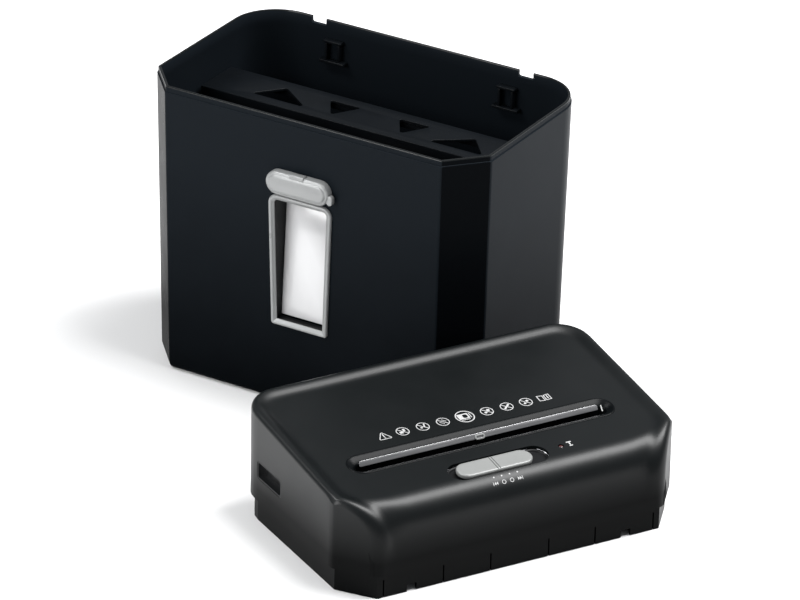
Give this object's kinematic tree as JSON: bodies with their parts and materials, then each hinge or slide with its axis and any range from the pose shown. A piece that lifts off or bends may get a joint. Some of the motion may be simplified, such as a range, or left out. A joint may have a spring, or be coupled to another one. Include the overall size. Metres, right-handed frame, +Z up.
{
  "type": "paper shredder",
  "caption": "Desk-side paper shredder: black waste bin with a front window, and its cutter head with feed slot and mode slider lifted off and stood in front.",
  "frame": {"origin": "middle of the bin's flat base, on the floor", "axes": "+X along the head's feed slot, towards the end with the indicator; +Y to the head's back; +Z up. The bin is turned 60 degrees clockwise about +Z"},
  "size_m": [0.3482, 0.5277, 0.256],
  "materials": {
    "black_plastic": "satin moulded",
    "black_gloss": "semi-gloss moulded",
    "dark_plastic": "fine matte",
    "silver_plastic": "silver paint on plastic",
    "pale_silver": "pale satin silver",
    "clear_pane": "clear, glossy",
    "steel": "zinc-plated sheet",
    "cutter_steel": "oiled, ground",
    "bronze": "sintered",
    "gear_plastic": "natural nylon",
    "board_green": "solder mask",
    "lens_red": "clear tinted",
    "rubber": "matte"
  },
  "bodies": {
    "bin": {"bin_shell": "black_plastic", "bin_brace": "black_plastic", "window_frame": "silver_plastic", "window_recess": "dark_plastic", "window_pane": "clear_pane", "window_cap": "silver_plastic"},
    "head": {"top_cover": "black_gloss", "base_housing": "black_plastic", "slot_bezel": "black_gloss", "slot_lip_strip": "steel", "slider_bed": "dark_plastic", "indicator_lens": "lens_red", "grip_left": "dark_plastic", "grip_right": "dark_plastic", "mode_switch": "dark_plastic", "sensor_bracket": "dark_plastic", "left_side_frame": "steel", "right_side_frame": "steel", "bearing_front_left": "bronze", "bearing_front_right": "bronze", "bearing_rear_left": "bronze", "bearing_rear_right": "bronze", "front_comb": "dark_plastic", "rear_comb": "dark_plastic", "tie_rod_front": "steel", "tie_rod_rear": "steel", "gear_plate": "steel", "idler_pin": "steel", "motor_can": "steel", "motor_end_cap": "dark_plastic", "motor_saddle": "dark_plastic", "control_board": "board_green", "interlock_switch": "dark_plastic", "cord_gland": "rubber", "cover_screw_1": "steel", "cover_screw_2": "steel", "cover_screw_3": "steel", "cover_screw_4": "steel"},
    "rear_cutter": {"rear_cutter": "cutter_steel", "rear_sync_gear": "gear_plastic", "drive_gear": "gear_plastic"},
    "front_cutter": {"front_cutter": "cutter_steel", "front_sync_gear": "gear_plastic"},
    "idler": {"idler_gear": "gear_plastic"},
    "motor_rotor": {"motor_pinion": "steel"},
    "slider": {"mode_slider": "pale_silver"},
    "lever": {"sensor_lever": "pale_silver"},
    "plunger": {"interlock_plunger": "pale_silver"}
  },
  "joints": [
    {"name": "head_lift", "type": "slide", "parent": "bin", "child": "head", "axis": [0, 0, 1], "range_m": [0, 0.3]},
    {"name": "rear_cutter_spin", "type": "hinge", "parent": "head", "child": "rear_cutter", "pos_m": [-0.0505, -0.279, 0.041], "axis": [1, 0, 0], "continuous": true},
    {"name": "front_cutter_spin", "type": "hinge", "parent": "head", "child": "front_cutter", "pos_m": [-0.0505, -0.305, 0.041], "axis": [1, 0, 0], "continuous": true},
    {"name": "idler_spin", "type": "hinge", "parent": "head", "child": "idler", "pos_m": [-0.1805, -0.25035, 0.05634], "axis": [1, 0, 0], "continuous": true},
    {"name": "motor_spin", "type": "hinge", "parent": "head", "child": "motor_rotor", "pos_m": [-0.1705, -0.223, 0.044], "axis": [1, 0, 0], "continuous": true},
    {"name": "mode_slide", "type": "slide", "parent": "head", "child": "slider", "axis": [1, 0, 0], "range_m": [-0.007, 0.014]},
    {"name": "sensor_swing", "type": "hinge", "parent": "head", "child": "lever", "pos_m": [-0.0505, -0.27918, 0.06653], "axis": [1, 0, 0], "range_deg": [0, 35], "stiffness_Nm_per_rad": 0.02},
    {"name": "interlock_press", "type": "slide", "parent": "head", "child": "plunger", "axis": [0, 0, 1], "range_m": [0, 0.004], "stiffness_N_per_m": 400}
  ],
  "couplings": [
    {"joint": "front_cutter_spin", "follows": "rear_cutter_spin", "ratio": -1},
    {"joint": "idler_spin", "follows": "rear_cutter_spin", "ratio": -2.5714},
    {"joint": "motor_spin", "follows": "rear_cutter_spin", "ratio": 10.286}
  ]
}
